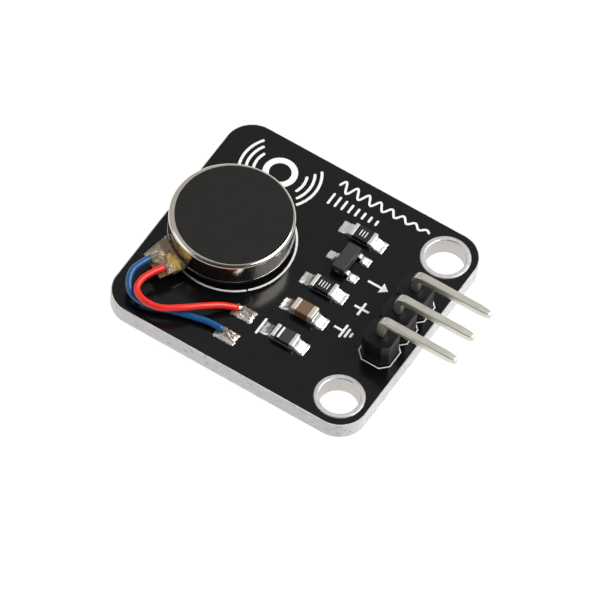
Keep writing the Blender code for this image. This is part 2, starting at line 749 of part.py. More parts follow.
def build_transistor():
    """A three-leaded chip: one lead towards the motor, two towards the header."""
    width, length, height = TRANSISTOR_SIZE
    foot = TRANSISTOR_STANDOFF
    bm = block((-width / 2, -length / 2, foot), (width / 2, length / 2, foot + height))
    for corner in bm.verts:
        if corner.co.z > height / 2:
            corner.co.x -= math.copysign(TRANSISTOR_DRAFT, corner.co.x)
            corner.co.y -= math.copysign(TRANSISTOR_DRAFT, corner.co.y)
    place = (*TRANSISTOR_PLACE, BOARD_THICKNESS)
    add_part("transistor_body", bm, "moulding_black", at=place)
    start = width / 2 + GAP
    t = LEAD_THICKNESS
    knee = start + 0.18
    lead = [
        (start, LEAD_LEVEL),
        (start, LEAD_LEVEL - t),
        (knee - t, LEAD_LEVEL - t),
        (knee - t, CHIP_STANDOFF),
        (LEAD_REACH, CHIP_STANDOFF),
        (LEAD_REACH, CHIP_STANDOFF + t),
        (knee, CHIP_STANDOFF + t),
        (knee, LEAD_LEVEL),
    ]
    x, y, z = place
    leads = [(0, math.pi), (-LEAD_PITCH / 2, 0), (LEAD_PITCH / 2, 0)]
    for number, (offset, turn) in enumerate(leads, start=1):
        bm = on_edge(slab(lead, -LEAD_WIDTH / 2, LEAD_WIDTH / 2))
        add_part(f"transistor_lead_{number}", bm, "tin", at=(x, y + offset, z), turn=turn)


def main():
    clear_scene()
    build_board()
    build_header()
    motor = empty("motor_centre", *MOTOR_PLACE, BOARD_THICKNESS)
    rotor = empty("rotor_axis", 0, 0, 0, motor)
    rotor.rotation_euler = (0, 0, ROTOR_REST_ANGLE)
    build_motor(motor)
    build_rotor(rotor)
    build_wires(motor)
    for name, chip in CHIPS.items():
        build_chip(name, chip["y"], chip["height"], chip["lip"], chip["look"])
    build_transistor()


main()
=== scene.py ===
"""The looks of a coin vibration motor on its driver board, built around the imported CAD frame.

Shapes are drawn in millimetres in the CAD frame: the origin is the centre of the board's
underside, +X runs towards the header pins and +Z up. Places and sizes come from the CAD nodes.
"""

import math

import bmesh
import bpy
from mathutils import Matrix, Vector, noise


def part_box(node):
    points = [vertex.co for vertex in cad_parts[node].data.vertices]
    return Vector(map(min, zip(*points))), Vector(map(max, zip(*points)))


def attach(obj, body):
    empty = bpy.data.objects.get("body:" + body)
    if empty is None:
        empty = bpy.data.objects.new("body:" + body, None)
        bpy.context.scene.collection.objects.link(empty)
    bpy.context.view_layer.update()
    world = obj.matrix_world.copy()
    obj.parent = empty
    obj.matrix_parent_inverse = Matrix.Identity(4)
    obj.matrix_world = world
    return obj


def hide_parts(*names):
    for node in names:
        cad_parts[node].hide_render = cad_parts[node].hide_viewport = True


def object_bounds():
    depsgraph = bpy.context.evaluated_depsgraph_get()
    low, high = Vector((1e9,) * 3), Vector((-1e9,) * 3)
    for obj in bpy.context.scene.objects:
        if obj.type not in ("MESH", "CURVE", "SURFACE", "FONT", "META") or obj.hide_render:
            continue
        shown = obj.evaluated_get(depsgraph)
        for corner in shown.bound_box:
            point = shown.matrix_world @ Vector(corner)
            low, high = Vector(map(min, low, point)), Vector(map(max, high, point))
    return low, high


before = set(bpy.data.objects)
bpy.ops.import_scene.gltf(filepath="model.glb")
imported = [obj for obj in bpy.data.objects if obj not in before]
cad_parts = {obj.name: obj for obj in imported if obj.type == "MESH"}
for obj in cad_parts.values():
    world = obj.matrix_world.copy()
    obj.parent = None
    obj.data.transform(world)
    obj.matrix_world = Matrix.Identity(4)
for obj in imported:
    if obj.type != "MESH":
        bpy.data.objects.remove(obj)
cad_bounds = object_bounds()

MM = 0.001
BOARD_BODY = "board"


def box_mm(node):
    """Lowest and highest corner of a CAD node, in millimetres."""
    low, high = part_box(node)
    return low / MM, high / MM


def centre_mm(node):
    """The middle of a CAD node in the XY plane, in millimetres."""
    low, high = box_mm(node)
    return ((low + high) / 2).xy


# Driving sizes, all read from the frame
BOARD_LOW, BOARD_HIGH = box_mm("circuit_board")
CASE_LOW, CASE_HIGH = box_mm("motor_case")
FILM_LOW, FILM_HIGH = box_mm("motor_top_film")
FLEX_HIGH = box_mm("motor_flex_circuit")[1]
HOUSING_LOW, HOUSING_HIGH = box_mm("header_housing")
PIN_BOXES = [box_mm(f"header_pin_{number}") for number in (1, 2, 3)]
PLATING_BOXES = [box_mm(f"hole_plating_{number}") for number in (1, 2)]
FACE = BOARD_HIGH.z
MOTOR_X, MOTOR_Y = ((CASE_LOW + CASE_HIGH) / 2).xy
MOTOR_RADIUS = (CASE_HIGH.x - CASE_LOW.x) / 2
MOTOR_TOP = CASE_HIGH.z
PIN_SIDE = PIN_BOXES[0][1].y - PIN_BOXES[0][0].y
PIN_ROWS = [(low.y + high.y) / 2 for low, high in PIN_BOXES]
PIN_PITCH = PIN_ROWS[1] - PIN_ROWS[0]
HEADER_X = (HOUSING_LOW.x + HOUSING_HIGH.x) / 2
SCREW_PLACES = [((low + high) / 2).xy for low, high in PLATING_BOXES]
RIM_RADIUS = (PLATING_BOXES[0][1].x - PLATING_BOXES[0][0].x) / 2

# Sizes that only the looks have
BOARD_CORNER = 2.4
MASK = 0.02
MASK_INSET = 0.09
MASK_GAP = 0.03
SILK = 0.012
SILK_LINE = 0.2
SCREW_RADIUS = 1.6
PIN_HOLE_RADIUS = 0.5
PIN_PAD_RADIUS = 0.95
PIN_RING = 0.03
WIRE_RADIUS = 0.27
STRAND_RADIUS = 0.05
CASE_WALL = 0.2
TAIL_ANGLE = math.radians(-116)
CRIMP_ANGLE = math.radians(-40)
TAIL_FACE = FLEX_HIGH.z + 0.04


# Outlines in the XY plane


def arc(x, y, radius, start, end, steps):
    """Points on an arc, both ends included."""
    angles = [start + (end - start) * step / steps for step in range(steps + 1)]
    return [(x + radius * math.cos(a), y + radius * math.sin(a)) for a in angles]


def circle(x, y, radius, sides):
    return arc(x, y, radius, 0, math.tau, sides)[:-1]


def rectangle(low, high):
    return [(low[0], low[1]), (high[0], low[1]), (high[0], high[1]), (low[0], high[1])]


def rounded_rectangle(low, high, radius, steps=6, spacing=None):
    """A rectangle between two corners with round corners; its sides are split at a spacing."""
    corners = [
        (high[0] - radius, high[1] - radius),
        (low[0] + radius, high[1] - radius),
        (low[0] + radius, low[1] + radius),
        (high[0] - radius, low[1] + radius),
    ]
    outline = []
    for index, (x, y) in enumerate(corners):
        start = index * math.pi / 2
        outline += arc(x, y, radius, start, start + math.pi / 2, steps)
        if spacing:
            after = corners[(index + 1) % 4]
            turn = start + math.pi / 2
            goal = (after[0] + radius * math.cos(turn), after[1] + radius * math.sin(turn))
            here = outline[-1]
            count = int(math.dist(here, goal) / spacing)
            for step in range(1, count):
                t = step / count
                outline.append((here[0] + (goal[0] - here[0]) * t, here[1] + (goal[1] - here[1]) * t))
    return outline


def ribbon(points, width):
    """The outline of a stroke along points, with round ends. It starts at the tip of one end."""
    half = width / 2
    line = [Vector(point) for point in points]
    left, right = [], []
    for index, point in enumerate(line):
        before = line[max(index - 1, 0)]
        after = line[min(index + 1, len(line) - 1)]
        entry = (point - before).normalized() if index else (after - point).normalized()
        leave = (after - point).normalized() if index < len(line) - 1 else entry
        along = (entry + leave).normalized()
        side = Vector((-along.y, along.x))
        reach = half / max(0.4, side.dot(Vector((-entry.y, entry.x))))
        left.append(tuple(point + side * reach))
        right.append(tuple(point - side * reach))
    start = math.atan2(*(line[1] - line[0]).yx)
    end = math.atan2(*(line[-1] - line[-2]).yx)
    head = arc(*line[-1], half, end + math.pi / 2, end - math.pi / 2, 6)[1:-1]
    tail = arc(*line[0], half, start - math.pi / 2, start - math.pi * 1.5, 6)[1:-1]
    return tail[2:] + left + head + right[::-1] + tail[:2]


# Meshes


def around(loop):
    """Each item of a closed loop with the one after it."""
    return zip(loop, loop[1:] + loop[:1])


def face_outwards(bm):
    bmesh.ops.recalc_face_normals(bm, faces=bm.faces[:])


def skin(bm, low, high):
    """Faces between two closed loops of corners."""
    for (a, b), (c, d) in zip(around(low), around(high)):
        bm.faces.new((a, b, d, c))


def loft(rings):
    """A solid through rings of points, with a flat face at both ends."""
    bm = bmesh.new()
    loops = [[bm.verts.new(point) for point in ring] for ring in rings]
    for low, high in zip(loops, loops[1:]):
        skin(bm, low, high)
    bm.faces.new(loops[0])
    bm.faces.new(loops[-1])
    face_outwards(bm)
    return bm


def plate(outline, bottom, top, holes=()):
    """A flat plate: an outline less its holes, from one height to another."""
    bm = bmesh.new()
    add_plate(bm, outline, bottom, top, holes)
    return bm


def add_plate(bm, outline, bottom, top, holes=(), stroke=False):
    """Add a plate to bm. A stroke is filled from side to side, so that it stays sound at a tight bend."""
    made = bmesh.new()
    loops = [[made.verts.new((x, y, bottom)) for x, y in loop] for loop in (outline, *holes)]
    rim = loops[0]
    if stroke:
        for i in range(len(rim) // 2):
            corners = dict.fromkeys((rim[i], rim[i + 1], rim[-i - 1], rim[-i]))
            made.faces.new(tuple(corners))
    elif holes:
        edges = [made.edges.new(ends) for loop in loops for ends in around(loop)]
        bmesh.ops.triangle_fill(made, use_beauty=True, edges=edges)
    else:
        made.faces.new(rim)
    lifted = bmesh.ops.extrude_face_region(made, geom=made.faces[:])["geom"]
    raised = [item for item in lifted if isinstance(item, bmesh.types.BMVert)]
    bmesh.ops.translate(made, vec=(0, 0, top - bottom), verts=raised)
    face_outwards(made)
    append(bm, made)


def append(bm, other):
    """Add another mesh to bm and free it."""
    temporary = bpy.data.meshes.new("temporary")
    other.to_mesh(temporary)
    other.free()
    bm.from_mesh(temporary)
    bpy.data.meshes.remove(temporary)


def lathe(profile, sides, x=0, y=0):
    """A closed profile of (radius, height) points, turned about a vertical axis."""
    bm = bmesh.new()
    rings = []
    for radius, height in profile:
        if radius < 1e-6:
            rings.append([bm.verts.new((x, y, height))])
        else:
            rings.append([bm.verts.new((px, py, height)) for px, py in circle(x, y, radius, sides)])
    for low, high in around(rings):
        for i in range(sides):
            j = (i + 1) % sides
            corners = [low[i % len(low)], low[j % len(low)], high[j % len(high)], high[i % len(high)]]
            corners = list(dict.fromkeys(corners))
            if len(corners) > 2:
                bm.faces.new(corners)
    face_outwards(bm)
    return bm


def block(low, high):
    bm = bmesh.new()
    bmesh.ops.create_cube(bm, size=1)
    for corner in bm.verts:
        corner.co = [a + (b - a) * (c + 0.5) for a, b, c in zip(low, high, corner.co)]
    return bm


def smooth_path(points, steps):
    """A curve through control points (Catmull-Rom), with steps spans between two of them."""
    knots = [Vector(point) for point in points]
    knots = [2 * knots[0] - knots[1], *knots, 2 * knots[-1] - knots[-2]]
    path = []
    for before, start, end, after in zip(knots, knots[1:], knots[2:], knots[3:]):
        for step in range(steps):
            t = step / steps
            curve = 2 * start + (end - before) * t
            curve += (2 * before - 5 * start + 4 * end - after) * t * t
            curve += (3 * start - before - 3 * end + after) * t * t * t
            path.append(curve / 2)
    path.append(knots[-2])
    return path


def sweep(path, section, scales=None, side=None):
    """A closed solid swept along a path; section points and scales are (across, up)."""
    rings = []
    for index, point in enumerate(path):
        along = path[min(index + 1, len(path) - 1)] - path[max(index - 1, 0)]
        across = side or Vector((0, 0, 1)).cross(along).normalized()
        up = along.cross(across).normalized()
        wide, tall = scales[index] if scales else (1.0, 1.0)
        rings.append([point + across * a * wide + up * b * tall for a, b in section])
    return loft(rings)


def mound(outline, bottom, height_at, rings=12, centre=None):
    """A soft heap on a flat foot. height_at(x, y, t) is its height; t runs from 0 at the rim to 1 inside."""
    bm = bmesh.new()
    if centre is None:
        centre = (sum(x for x, _ in outline) / len(outline), sum(y for _, y in outline) / len(outline))
    loops = [[bm.verts.new((x, y, bottom)) for x, y in outline]]
    for ring in range(rings):
        t = ring / rings
        loop = []
        for x, y in outline:
            px = x + (centre[0] - x) * t
            py = y + (centre[1] - y) * t
            loop.append(bm.verts.new((px, py, bottom + max(0.004, height_at(px, py, t)))))
        loops.append(loop)
    for low, high in zip(loops, loops[1:]):
        skin(bm, low, high)
    bm.faces.new(loops[0])
    peak = bm.verts.new((*centre, bottom + height_at(*centre, 1.0)))
    for a, b in around(loops[-1]):
        bm.faces.new((a, b, peak))
    face_outwards(bm)
    return bm


def ripple(x, y, size, seed=0.0):
    """Smooth noise from -1 to 1, with features of a size in millimetres."""
    return noise.noise(Vector((x / size, y / size, seed)))


def bell(distance, width):
    return math.exp(-((distance / width) ** 2))


def step_up(distance, sharpness):
    """From 0 to 1 as a distance goes from below zero to above it."""
    return 1 / (1 + math.exp(-distance * sharpness))


def ragged(outline, amount):
    """An outline whose points wander a little, as the rim of solder does."""
    wander = [(ripple(x, y, 0.2, 2.0), ripple(x, y, 0.2, 5.0)) for x, y in outline]
    return [(x + amount * dx, y + amount * dy) for (x, y), (dx, dy) in zip(outline, wander)]


# Pieces


def as_object(name, bm):
    """A mesh drawn in millimetres, as an object of the scene."""
    bmesh.ops.scale(bm, vec=(MM, MM, MM), verts=bm.verts[:])
    mesh = bpy.data.meshes.new(name)
    bm.to_mesh(mesh)
    bm.free()
    made = bpy.data.objects.new(name, mesh)
    bpy.context.scene.collection.objects.link(made)
    return made


def piece(name, bm, look, stands_for=(), bevel=0.0, body=BOARD_BODY, sharp=35, segments=3):
    """Make a piece of a mesh drawn in millimetres: its material, its body, the CAD nodes it stands for."""
    made = as_object(name, bm)
    made.data.shade_smooth()
    made.data.set_sharp_from_angle(angle=math.radians(sharp))
    made.data.materials.append(LOOKS[look])
    if bevel:
        rounding = made.modifiers.new("rounding", "BEVEL")
        rounding.width = bevel * MM
        rounding.segments = segments
        rounding.limit_method = "ANGLE"
        rounding.angle_limit = math.radians(sharp)
        rounding.harden_normals = True
    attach(made, body)
    if stands_for:
        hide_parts(*stands_for)
    return made


# Materials


def linear(red, green, blue):
    """A colour given as screen values from 0 to 255, as linear light."""
    return tuple((value / 255) ** 2.2 for value in (red, green, blue))


def shaded(colour, factor):
    return [min(1.0, channel * factor) for channel in colour]


def add_node(tree, kind, **inputs):
    """Add a shader node. Each input is a number to set or an output to link from."""
    node = tree.nodes.new(f"ShaderNode{kind}")
    for name, value in inputs.items():
        socket = node.inputs[name.replace("_", " ")]
        if isinstance(value, bpy.types.NodeSocket):
            tree.links.new(value, socket)
        else:
            socket.default_value = value
    return node


def add_ramp(tree, stops, source):
    """A ramp of colours over an output. Stops are (position, colour)."""
    node = add_node(tree, "ValToRGB", Fac=source)
    elements = node.color_ramp.elements
    while len(elements) < len(stops):
        elements.new(1.0)
    for element, (position, colour) in zip(elements, stops):
        element.position = position
        element.color = (*colour, 1)
    return node.outputs["Color"]


def multiplied(tree, first, second, share):
    """One colour darkened by another."""
    mixed = tree.nodes.new("ShaderNodeMix")
    mixed.data_type = "RGBA"
    mixed.blend_type = "MULTIPLY"
    mixed.inputs["Factor"].default_value = share
    tree.links.new(first, mixed.inputs["A"])
    tree.links.new(second, mixed.inputs["B"])
    return mixed.outputs["Result"]


def surface(
    name, colour, roughness, metallic=0.0, grain=0.3, shade=0.12, bump=0.1,
    stretch=(1, 1, 1), rough_shade=0.15, second=None, **sockets,
):
    """A Principled material whose colour, gloss and relief vary with noise of a grain in millimetres.

    With a second colour, the noise runs from the first colour to the second.
    """
    made = bpy.data.materials.new(name)
    made.use_nodes = True
    tree = made.node_tree
    shader = tree.nodes["Principled BSDF"]
    for socket, value in sockets.items():
        shader.inputs[socket.replace("_", " ")].default_value = value
    shader.inputs["Metallic"].default_value = metallic
    place = tree.nodes.new("ShaderNodeTexCoord").outputs["Object"]
    scale = [1 / (grain * MM * part) for part in stretch]
    scaled = add_node(tree, "Mapping", Vector=place, Scale=scale).outputs["Vector"]
    pattern = add_node(tree, "TexNoise", Vector=scaled, Scale=1.0, Detail=5.0).outputs["Fac"]
    low, high = 0.3, 0.7
    dark = shaded(linear(*colour), 1 - shade)
    light = shaded(linear(*(second or colour)), 1 + shade)
    tint = add_ramp(tree, ((low, dark), (high, light)), pattern)
    tree.links.new(tint, shader.inputs["Base Color"])
    gloss = add_node(tree, "MapRange", Value=pattern, From_Min=low, From_Max=high)
    gloss.inputs["To Min"].default_value = roughness * (1 - rough_shade)
    gloss.inputs["To Max"].default_value = min(1.0, roughness * (1 + rough_shade))
    tree.links.new(gloss.outputs["Result"], shader.inputs["Roughness"])
    relief = add_node(tree, "Bump", Height=pattern, Strength=bump, Distance=grain * MM * 0.2)
    tree.links.new(relief.outputs["Normal"], shader.inputs["Normal"])
    return made


def node_of(tree, kind):
    return next(node for node in tree.nodes if node.type == kind)


def edge_material():
    """Cut glass-epoxy: pale, in faint layers, with darker smears and specks along the cut."""
    made = surface("board_edge", (208, 207, 205), 0.55, grain=0.5, shade=0.1, bump=0.5)
    tree = made.node_tree
    place = node_of(tree, "TEX_COORD").outputs["Object"]
    tint = node_of(tree, "VALTORGB").outputs["Color"]
    stretched = add_node(tree, "Mapping", Vector=place, Scale=(1600, 1600, 5000)).outputs["Vector"]
    layers = add_node(tree, "TexNoise", Vector=stretched, Scale=1.0, Detail=3.0).outputs["Fac"]
    smear = add_ramp(tree, ((0.27, (0.3, 0.29, 0.29)), (0.4, (1, 1, 1))), layers)
    base = tree.nodes["Principled BSDF"].inputs["Base Color"]
    tree.links.new(multiplied(tree, tint, smear, 0.8), base)
    return made


def winding_material():
    """Enamelled copper: fine turns side by side."""
    made = surface("coil_windings", (190, 105, 60), 0.3, 0.9, grain=0.2, bump=0.0)
    tree = made.node_tree
    place = node_of(tree, "TEX_COORD").outputs["Object"]
    turns = add_node(tree, "TexWave", Vector=place, Scale=3500, Distortion=0.4)
    turns.bands_direction = "Z"
    relief = add_node(tree, "Bump", Height=turns.outputs["Fac"], Strength=0.6, Distance=0.02 * MM)
    tree.links.new(relief.outputs["Normal"], tree.nodes["Principled BSDF"].inputs["Normal"])
    return made


# Materials with nothing but a noise: screen colour, roughness, metallic, grain, shade, bump
PLAIN_LOOKS = {
    "silk_print": ((238, 240, 238), 0.65, 0.0, 0.15, 0.05, 0.35),
    "tinned_pad": ((228, 226, 224), 0.28, 0.7, 0.25, 0.08, 0.15),
    "solder": ((232, 231, 229), 0.2, 0.85, 0.3, 0.05, 0.1),
    "worn_solder": ((214, 204, 196), 0.26, 0.8, 0.3, 0.12, 0.3),
    "hole_barrel": ((196, 192, 187), 0.36, 0.85, 0.5, 0.06, 0.1),
    "hole_plating": ((222, 218, 217), 0.34, 0.8, 0.5, 0.06, 0.25),
    "pin_metal": ((212, 209, 197), 0.3, 0.88, 1.5, 0.05, 0.02),
    "plain_steel": ((150, 148, 145), 0.3, 1.0, 0.2, 0.08, 0.15),
    "foam_tape": ((20, 20, 21), 0.95, 0.0, 0.06, 0.5, 0.9),
    "flex_circuit": ((176, 120, 46), 0.3, 0.0, 0.3, 0.15, 0.15),
    "ring_magnet": ((96, 97, 100), 0.35, 1.0, 0.15, 0.1, 0.2),
    "tungsten_weight": ((120, 118, 118), 0.42, 1.0, 0.08, 0.15, 0.4),
    "brass": ((196, 160, 84), 0.25, 1.0, 0.2, 0.08, 0.12),
    "natural_plastic": ((214, 206, 184), 0.5, 0.0, 0.3, 0.05, 0.12),
    "rotor_laminate": ((30, 92, 46), 0.35, 0.0, 0.3, 0.1, 0.15),
    "red_insulation": ((232, 44, 36), 0.32, 0.0, 0.35, 0.06, 0.06),
    "blue_insulation": ((24, 86, 140), 0.3, 0.0, 0.35, 0.08, 0.06),
    "tinned_strands": ((214, 208, 196), 0.2, 1.0, 0.1, 0.08, 0.2),
    "resistor_glaze": ((26, 26, 28), 0.3, 0.0, 0.2, 0.15, 0.12),
    "alumina": ((150, 150, 152), 0.55, 0.0, 0.12, 0.1, 0.3),
    "capacitor_ceramic": ((110, 86, 62), 0.45, 0.0, 0.15, 0.08, 0.25),
    "chip_tin": ((222, 222, 218), 0.3, 0.7, 0.12, 0.06, 0.2),
    "capacitor_tin": ((206, 201, 186), 0.35, 0.5, 0.12, 0.06, 0.25),
    "chip_epoxy": ((52, 50, 51), 0.42, 0.0, 0.08, 0.2, 0.25),
}


# Materials with more to them: screen colour, roughness, and what else differs
RICH_LOOKS = {
    "solder_mask": ((22, 21, 22), 0.16, dict(grain=1.2, shade=0.1, bump=0.03, Specular_IOR_Level=0.28)),
    "header_moulding": ((14, 14, 14), 0.4, dict(grain=0.12, shade=0.15, bump=0.2, Specular_IOR_Level=0.3)),
    "case_steel": ((212, 205, 194), 0.16, dict(metallic=1.0, shade=0.04, bump=0.0, stretch=(1, 1, 8))),
    "case_film": ((38, 37, 36), 0.3, dict(grain=0.9, shade=0.05, bump=0.012, Specular_IOR_Level=0.22)),
    "clear_tape": (
        (244, 230, 208), 0.08,
        dict(grain=0.5, shade=0.08, bump=0.5, rough_shade=0.5, Transmission_Weight=0.86, IOR=1.3),
    ),
    "tail_glue": (
        (178, 138, 62), 0.1,
        dict(second=(255, 212, 120), grain=0.7, shade=0.1, bump=0.4, Transmission_Weight=0.1, IOR=1.4),
    ),
    "milky_glue": (
        (60, 96, 132), 0.12,
        dict(second=(232, 226, 200), grain=0.9, shade=0.1, bump=0.3, Transmission_Weight=0.1, IOR=1.4),
    ),
    "tail_film": ((54, 32, 14), 0.3, dict(second=(124, 88, 52), grain=0.7, shade=0.1, bump=0.2)),
    "studio_floor": (
        (110, 110, 110), 0.9,
        dict(grain=30, shade=0.01, bump=0.0, Emission_Color=(1, 1, 1, 1), Emission_Strength=0.97),
    ),
}


def make_looks():
    looks = {name: surface(name, *numbers) for name, numbers in PLAIN_LOOKS.items()}
    for name, (colour, roughness, others) in RICH_LOOKS.items():
        looks[name] = surface(name, colour, roughness, **others)
    looks["board_edge"] = edge_material()
    looks["coil_windings"] = winding_material()
    return looks


LOOKS = make_looks()


# Board


CHIPS = ("resistor_1", "resistor_2", "capacitor", "diode")
# Which way along X the metal ends of a chip point, and the leads of the transistor, by their number
SIDES = {1: -1, 2: 1, 3: 1}


def chip_boxes(name):
    return [box_mm(f"{name}_cap_{number}") for number in (1, 2)]


def pad_rectangles():
    """Every copper pad on the top face, as (low, high) corners. Names say what is soldered on each."""
    pads = {}

    def add_pad(name, box, outward, reach, inner, half):
        """The pad runs from a distance inside the metal's inner face to a reach beyond its outer face."""
        low, high = box
        middle = (low.y + high.y) / 2
        start, end = (low.x - reach, high.x - inner) if outward < 0 else (low.x + inner, high.x + reach)
        pads[name] = ((start, middle - half), (end, middle + half))

    for name in CHIPS:
        for number, box in enumerate(chip_boxes(name), start=1):
            under = box[1].x - box[0].x - 0.2
            add_pad(f"{name}_{number}", box, SIDES[number], 1.05, under, 0.62)
    for number in (1, 2, 3):
        box = box_mm(f"transistor_lead_{number}")
        add_pad(f"transistor_{number}", box, SIDES[number], 0.42, 0.1, 0.42)
    for colour in ("red", "blue"):
        x, y = centre_mm(f"{colour}_pad_solder")
        pads[colour] = ((x - 1.0, y - 0.64), (x + 0.92, y + 0.62))
    return pads


PADS = pad_rectangles()


def grown(rectangle, margin):
    low, high = rectangle
    return (low[0] - margin, low[1] - margin), (high[0] + margin, high[1] + margin)


def build_board_core():
    """The glass-epoxy core: flat faces and a routed edge that is slightly rough."""
    plating = 0.06
    outline = rounded_rectangle(BOARD_LOW, BOARD_HIGH, BOARD_CORNER, steps=24, spacing=0.16)
    holes = [circle(x, y, SCREW_RADIUS + plating, 64) for x, y in SCREW_PLACES]
    holes += [circle(HEADER_X, y, PIN_HOLE_RADIUS, 24) for y in PIN_ROWS]
    rows = 8
    depth = 0.05
    bm = bmesh.new()
    rings = []
    for row in range(rows + 1):
        z = BOARD_LOW.z + (BOARD_HIGH.z - BOARD_LOW.z) * row / rows
        ring = []
        for x, y in outline:
            inward = -Vector((x, y, 0)).normalized()
            coarse = noise.noise(Vector((x / 0.7, y / 0.7, z / 0.35)))
            fine = noise.noise(Vector((x / 0.2, y / 0.2, z / 0.15)))
            rough = (0.5 + 0.5 * coarse) * (0.6 + 0.4 * fine)
            ring.append(bm.verts.new(Vector((x, y, z)) + inward * depth * rough))
        rings.append(ring)
    for low, high in zip(rings, rings[1:]):
        skin(bm, low, high)
    walls = []
    for loop in holes:
        walls.append([[bm.verts.new((x, y, z)) for x, y in loop] for z in (BOARD_LOW.z, BOARD_HIGH.z)])
    for low, high in walls:
        skin(bm, low, high)
    for level, rim in ((0, rings[0]), (1, rings[-1])):
        loops = [rim, *[wall[level] for wall in walls]]
        edges = [bm.edges.get(ends) for loop in loops for ends in around(loop)]
        bmesh.ops.triangle_fill(bm, use_beauty=True, edges=edges)
    face_outwards(bm)
    piece("board_core", bm, "board_edge", ("circuit_board",))


def build_masks():
    """Solder mask on both faces, with an opening round every hole."""
    low = (BOARD_LOW.x + MASK_INSET, BOARD_LOW.y + MASK_INSET)
    high = (BOARD_HIGH.x - MASK_INSET, BOARD_HIGH.y - MASK_INSET)
    outline = rounded_rectangle(low, high, BOARD_CORNER - MASK_INSET, steps=24)
    holes = [circle(x, y, RIM_RADIUS + MASK_GAP, 64) for x, y in SCREW_PLACES]
    holes += [circle(HEADER_X, y, PIN_PAD_RADIUS + MASK_GAP, 32) for y in PIN_ROWS]
    for side, bottom in (("top", FACE), ("bottom", BOARD_LOW.z - MASK)):
        bm = plate(outline, bottom, bottom + MASK, holes)
        piece(f"solder_mask_{side}", bm, "solder_mask")


def build_pads():
    """Tinned copper: a ring round each header pin. The other pads lie wholly under their solder."""
    bm = bmesh.new()
    for y in PIN_ROWS:
        hole = circle(HEADER_X, y, PIN_HOLE_RADIUS + 0.01, 24)
        ring = circle(HEADER_X, y, PIN_PAD_RADIUS, 32)
        add_plate(bm, ring, FACE, FACE + PIN_RING / 2, [hole])
        add_plate(bm, ring, BOARD_LOW.z - PIN_RING, BOARD_LOW.z, [hole])
    piece("tinned_pads", bm, "tinned_pad")


def build_plated_holes():
    """Plating that wraps each screw hole: a domed rim on both faces and a duller barrel between them."""
    rim_low, rim_top = (corner.z for corner in PLATING_BOXES[0])
    lip = 0.11
    edge = 0.04
    thick = 0.05
    upper = arc(RIM_RADIUS - edge, rim_top - edge, edge, 0, math.pi / 2, 4)
    upper += arc(SCREW_RADIUS + lip, rim_top - lip, lip, math.pi / 2, math.pi, 8)
    upper += [(SCREW_RADIUS + thick, rim_top - lip), (SCREW_RADIUS + thick, FACE), (RIM_RADIUS, FACE)]
    lower = [(radius, rim_low + rim_top - height) for radius, height in upper]
    barrel = [(SCREW_RADIUS, rim_low + lip), (SCREW_RADIUS, rim_top - lip)]
    barrel += [(radius + thick, height) for radius, height in reversed(barrel)]
    for number, (x, y) in enumerate(SCREW_PLACES, start=1):
        bm = lathe(upper, 96, x, y)
        append(bm, lathe(lower, 96, x, y))
        nodes = (f"hole_plating_{number}",)
        piece(f"plated_rims_{number}", bm, "hole_plating", nodes, sharp=50)
        bm = lathe(barrel, 96, x, y)
        piece(f"plated_barrel_{number}", bm, "hole_barrel", sharp=50)


# Silk print


